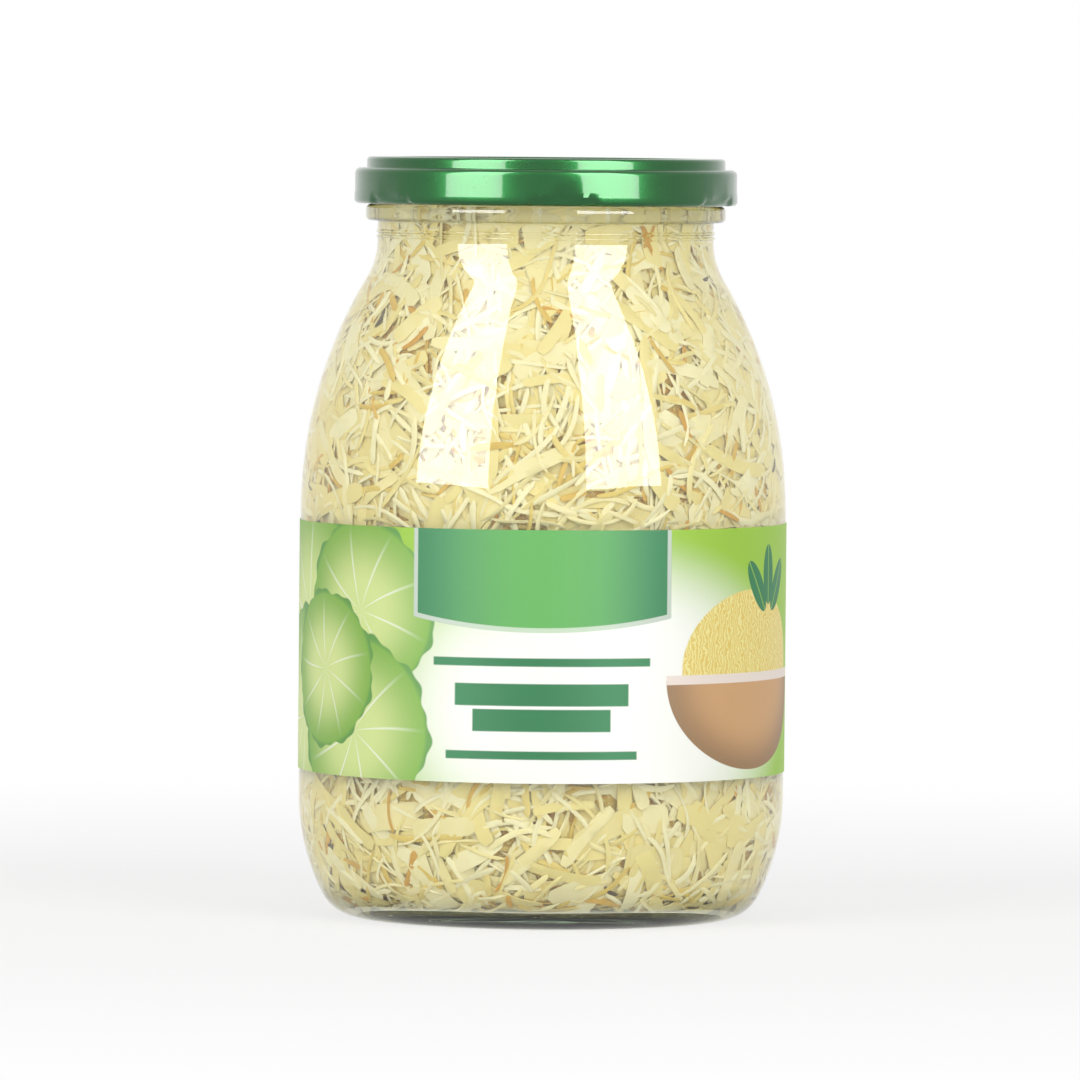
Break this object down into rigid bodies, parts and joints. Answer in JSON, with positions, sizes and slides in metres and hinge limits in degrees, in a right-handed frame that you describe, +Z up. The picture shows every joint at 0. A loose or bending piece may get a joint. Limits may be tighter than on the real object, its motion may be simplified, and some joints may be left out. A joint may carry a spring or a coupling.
{
  "type": "jar of sauerkraut",
  "caption": "Closed glass jar with a rounded shoulder, a wrap-round paper label and a twist-off metal lid, packed with shredded sauerkraut.",
  "frame": {"origin": "middle of the foot, on the surface that the jar stands on", "axes": "+Z up along the jar's axis, -Y towards the label's front"},
  "size_m": [0.1066, 0.1069, 0.1663],
  "materials": {
    "jar_glass": "clear, faintly green",
    "lid_lacquer": "glossy green metallic lacquer",
    "label_paper": "coated paper, printed in greens",
    "cabbage": "wet, pale yellow"
  },
  "bodies": {
    "root": {"glass_jar": "jar_glass", "lid": "lid_lacquer", "label": "label_paper", "sauerkraut": "cabbage"}
  },
  "joints": []
}
